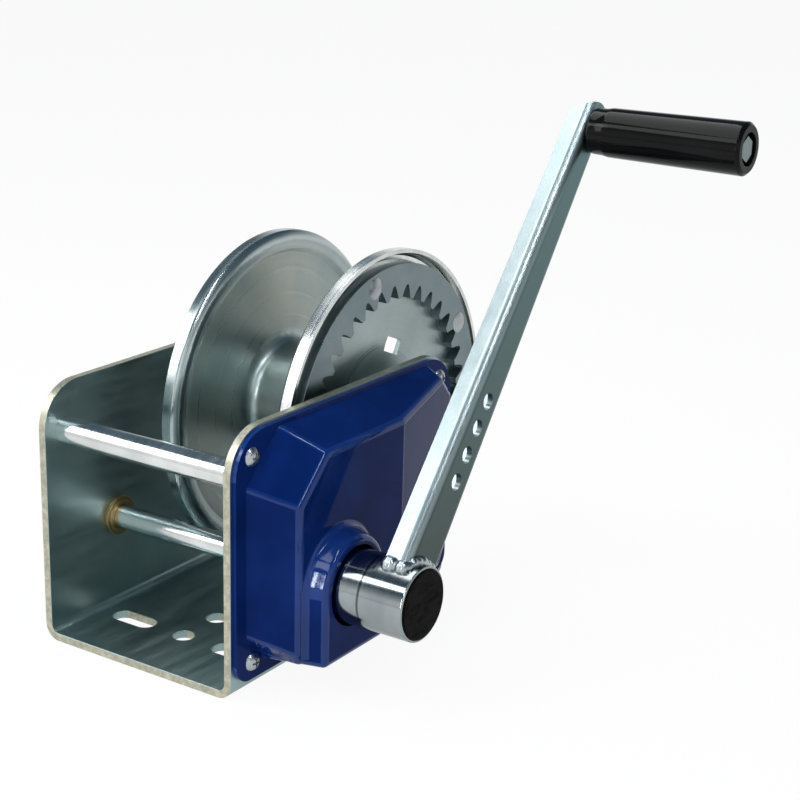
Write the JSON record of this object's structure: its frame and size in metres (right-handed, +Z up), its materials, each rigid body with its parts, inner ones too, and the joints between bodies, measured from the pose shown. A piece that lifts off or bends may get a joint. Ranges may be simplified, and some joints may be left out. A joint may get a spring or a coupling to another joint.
{
  "type": "hand brake winch",
  "caption": "Hand winch: bent sheet frame, rope drum with an internal ring gear, moulded gear cover and a welded crank with a free turning grip.",
  "frame": {"origin": "centre of the underside of the base plate", "axes": "+X along the drum axis towards the crank, +Y from the tie rod end to the rear, +Z up"},
  "size_m": [0.3434, 0.2859, 0.3262],
  "materials": {
    "zinc_sheet": "zinc plated",
    "zinc_bar": "zinc plated",
    "drum_zinc": "zinc plated",
    "gear_steel": "zinc plated",
    "rivet_steel": "zinc plated",
    "screw_zinc": "zinc plated",
    "weld": "zinc plated over the bead",
    "bright_tube": "bright plated",
    "bronze": "plain",
    "friction": "pressed lining",
    "blue_plastic": "gloss",
    "black_plastic": "gloss"
  },
  "bodies": {
    "winch_frame": {"frame": "zinc_sheet", "tie_rod": "zinc_bar", "shaft_bush_far": "bronze", "shaft_bush_near": "bronze", "counter_bush": "bronze", "drum_axle": "zinc_bar", "axle_washer": "zinc_bar", "axle_nut": "zinc_bar", "cover": "blue_plastic", "cover_screw_1": "screw_zinc", "cover_screw_2": "screw_zinc", "cover_screw_3": "screw_zinc", "cover_screw_4": "screw_zinc"},
    "drum": {"drum_flange_far": "drum_zinc", "drum_flange_near": "drum_zinc", "drum_barrel": "drum_zinc", "drum_hub": "zinc_bar", "ring_gear": "gear_steel", "ring_rivets": "rivet_steel"},
    "counter": {"counter_shaft": "gear_steel", "counter_gear": "gear_steel"},
    "crank": {"crank_shaft": "zinc_bar", "crank_pinion": "gear_steel", "friction_disc_inner": "friction", "ratchet_wheel": "gear_steel", "friction_disc_outer": "friction", "crank_hub": "bright_tube", "hub_cap": "black_plastic", "crank_arm": "zinc_sheet", "arm_weld": "weld", "grip_pin": "screw_zinc"},
    "handle": {"grip": "black_plastic"}
  },
  "joints": [
    {"name": "drum_spin", "type": "hinge", "parent": "winch_frame", "child": "drum", "pos_m": [0, 0.06492, 0.1239], "axis": [1, 0, 0], "continuous": true},
    {"name": "counter_spin", "type": "hinge", "parent": "winch_frame", "child": "counter", "pos_m": [0.08, 0.01991, 0.08653], "axis": [1, 0, 0], "continuous": true},
    {"name": "crank_spin", "type": "hinge", "parent": "winch_frame", "child": "crank", "pos_m": [0.1, -0.0515, 0.0636], "axis": [1, 0, 0], "continuous": true},
    {"name": "grip_spin", "type": "hinge", "parent": "crank", "child": "handle", "pos_m": [0.2, 0.14144, 0.30879], "axis": [1, 0, 0], "continuous": true}
  ],
  "couplings": [
    {"joint": "counter_spin", "follows": "drum_spin", "ratio": 3.6},
    {"joint": "crank_spin", "follows": "drum_spin", "ratio": -9.9}
  ]
}
